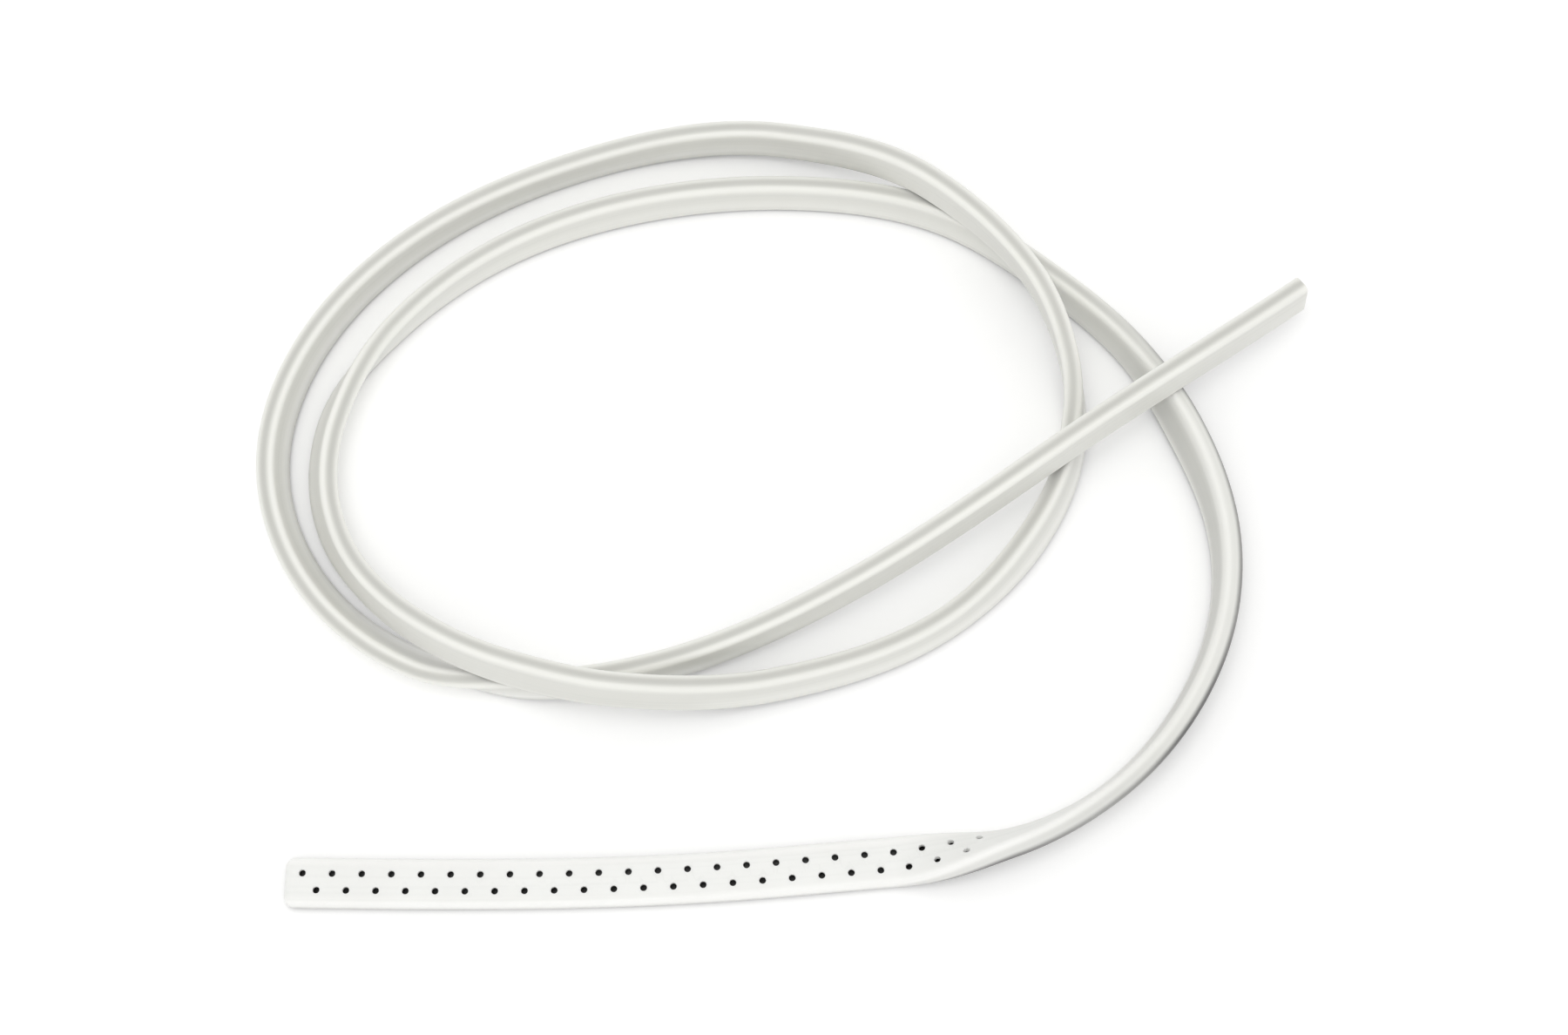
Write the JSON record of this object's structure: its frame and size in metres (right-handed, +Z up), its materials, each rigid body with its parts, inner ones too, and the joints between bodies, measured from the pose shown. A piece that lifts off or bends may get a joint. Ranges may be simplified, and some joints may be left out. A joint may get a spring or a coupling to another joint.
{
  "type": "wound drain tube",
  "caption": "Flat flexible silicone drain strip, hollow, perforated along its closed flat end and cut square at the other, lying in loose open loops.",
  "frame": {"origin": "on the surface it lies on, under the middle of the bounding box of the whole lay", "axes": "+X is to the right and +Y away from the viewer as pictured, +Z is up. The closed perforated end lies along -X at the front, and the cut end points to +X."},
  "size_m": [0.2229, 0.1717, 0.0212],
  "materials": {
    "drain_tube": "translucent white silicone, smooth satin"
  },
  "bodies": {
    "root": {"drain_tube": "drain_tube"}
  },
  "joints": []
}
